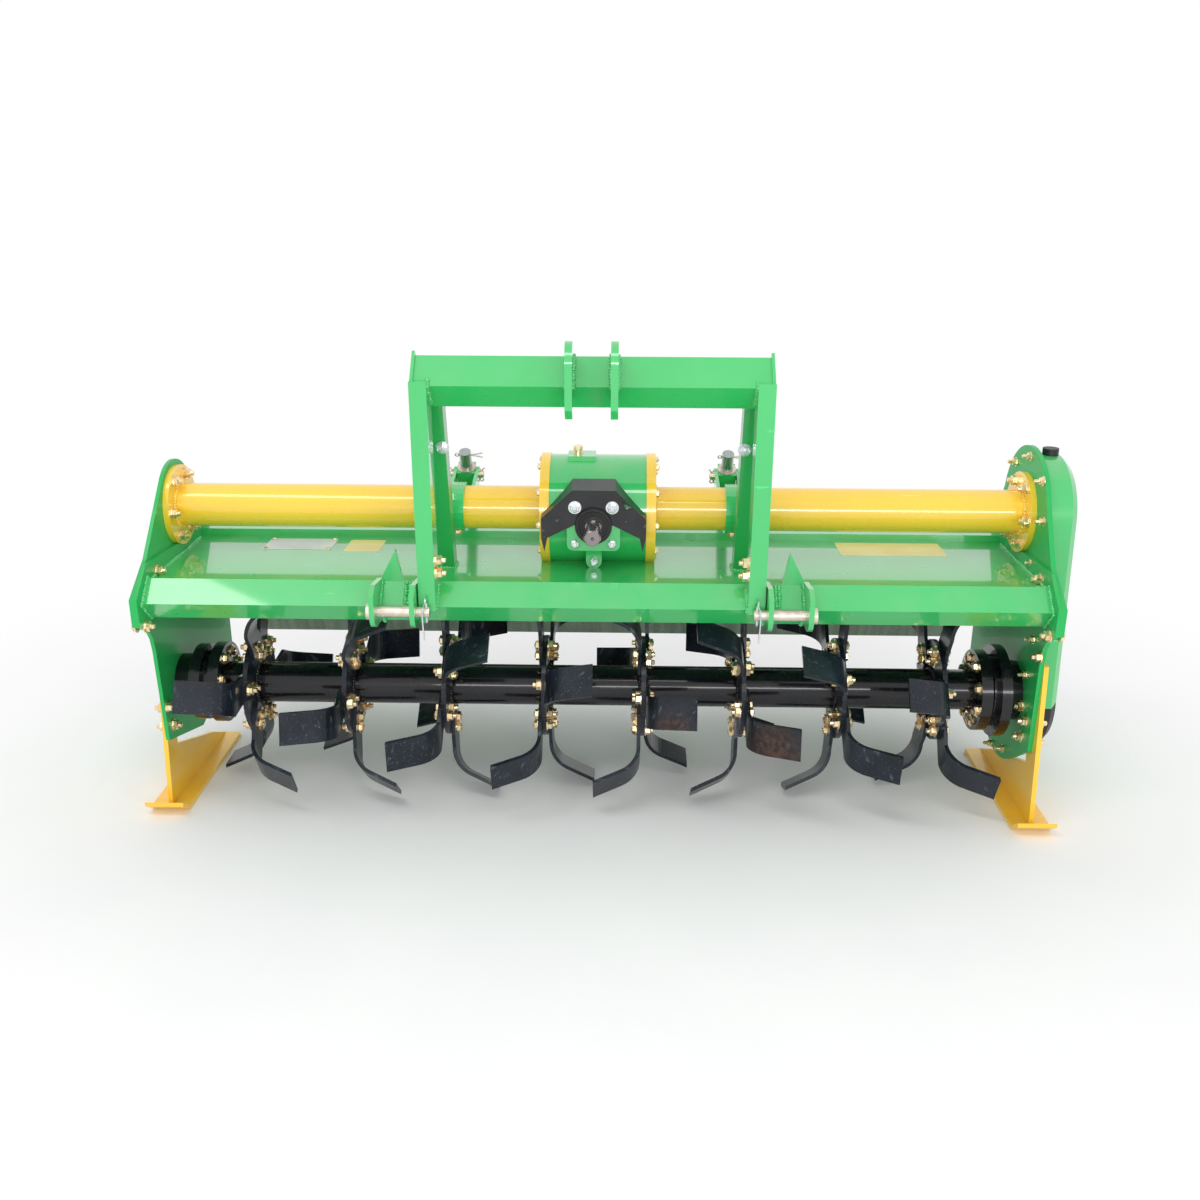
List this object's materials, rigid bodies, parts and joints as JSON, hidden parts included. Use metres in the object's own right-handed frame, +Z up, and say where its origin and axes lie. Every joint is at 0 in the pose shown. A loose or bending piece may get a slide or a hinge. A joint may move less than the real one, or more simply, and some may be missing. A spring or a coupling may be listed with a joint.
{
  "type": "rotavator",
  "caption": "Tractor-mounted rotary tiller with bladed rotor, side gear case, three-point headstock, skids and hinged tailboard.",
  "frame": {"origin": "middle of the bounding box in plan, on the floor under the skids", "axes": "+X towards the gear case side, -Y towards the tractor, +Z up"},
  "size_m": [1.993, 0.716, 1.046],
  "materials": {
    "green_paint": "gloss",
    "yellow_paint": "gloss",
    "black_paint": "gloss",
    "blade_steel": "satin",
    "zinc_steel": "satin",
    "machined_steel": "ground",
    "black_plastic": "satin"
  },
  "bodies": {
    "frame": {"axle_tube_left": "yellow_paint", "axle_tube_right": "yellow_paint", "deck": "green_paint", "deck_hinges": "green_paint", "end_plate_left": "green_paint", "end_plate_right": "green_paint", "filler_cap": "black_plastic", "front_beam": "green_paint", "gear_case_cover": "green_paint", "gear_case_foot": "black_plastic", "gear_case_plate": "green_paint", "gearbox_body": "green_paint", "gearbox_cover_left": "yellow_paint", "gearbox_cover_right": "yellow_paint", "headstock_crossbar": "green_paint", "headstock_leg_left": "green_paint", "headstock_leg_right": "green_paint", "hitch_ears_left": "green_paint", "hitch_ears_right": "green_paint", "hitch_gusset_left": "green_paint", "hitch_gusset_right": "green_paint", "hitch_pin_left": "zinc_steel", "hitch_pin_right": "zinc_steel", "hub_cap_left": "green_paint", "input_flange": "green_paint", "rod_bracket_left": "green_paint", "rod_bracket_right": "green_paint", "rotor_housing_left": "black_paint", "rotor_housing_right": "black_paint", "shaft_guard": "black_paint", "side_plate_left": "green_paint", "skid_left": "yellow_paint", "skid_right": "yellow_paint", "strut_left": "green_paint", "strut_right": "green_paint", "top_link_ears": "green_paint"},
    "rotor": {"blade_set_1": "blade_steel", "blade_set_2": "blade_steel", "blade_set_3": "blade_steel", "blade_set_4": "blade_steel", "blade_set_5": "blade_steel", "blade_set_6": "blade_steel", "blade_set_7": "blade_steel", "blade_set_8": "blade_steel", "rotor_tube": "black_paint"},
    "input_shaft": {"input_shaft": "machined_steel"},
    "tailboard": {"tailboard": "green_paint"},
    "trunnion_left": {"trunnion_left": "zinc_steel"},
    "tail_rod_left": {"tail_rod_left": "zinc_steel"},
    "trunnion_right": {"trunnion_right": "zinc_steel"},
    "tail_rod_right": {"tail_rod_right": "zinc_steel"}
  },
  "joints": [
    {"name": "rotor_spin", "type": "hinge", "parent": "frame", "child": "rotor", "pos_m": [-0.0165, -0.096, 0.256], "axis": [1, 0, 0], "continuous": true},
    {"name": "input_spin", "type": "hinge", "parent": "frame", "child": "input_shaft", "pos_m": [-0.0165, -0.156, 0.646], "axis": [0, -1, 0], "continuous": true},
    {"name": "tailboard_hinge", "type": "hinge", "parent": "frame", "child": "tailboard", "pos_m": [-0.0165, 0.191, 0.513], "axis": [1, 0, 0], "range_deg": [0, 30]},
    {"name": "trunnion_left_hinge", "type": "hinge", "parent": "frame", "child": "trunnion_left", "pos_m": [-0.3155, 0.134, 0.684], "axis": [1, 0, 0], "range_deg": [0, 18]},
    {"name": "tail_rod_left_slide", "type": "slide", "parent": "trunnion_left", "child": "tail_rod_left", "axis": [0, -0.4725, 0.8813], "range_m": [0, 0.03]},
    {"name": "trunnion_right_hinge", "type": "hinge", "parent": "frame", "child": "trunnion_right", "pos_m": [0.2825, 0.134, 0.684], "axis": [1, 0, 0], "range_deg": [0, 18]},
    {"name": "tail_rod_right_slide", "type": "slide", "parent": "trunnion_right", "child": "tail_rod_right", "axis": [0, -0.4725, 0.8813], "range_m": [0, 0.03]}
  ],
  "couplings": [
    {"joint": "input_spin", "follows": "rotor_spin", "ratio": 2.5},
    {"joint": "trunnion_left_hinge", "follows": "tailboard_hinge", "ratio": 0.5854},
    {"joint": "tail_rod_left_slide", "follows": "tailboard_hinge", "m_per_rad": 0.05702},
    {"joint": "trunnion_right_hinge", "follows": "tailboard_hinge", "ratio": 0.5854},
    {"joint": "tail_rod_right_slide", "follows": "tailboard_hinge", "m_per_rad": 0.05702}
  ]
}
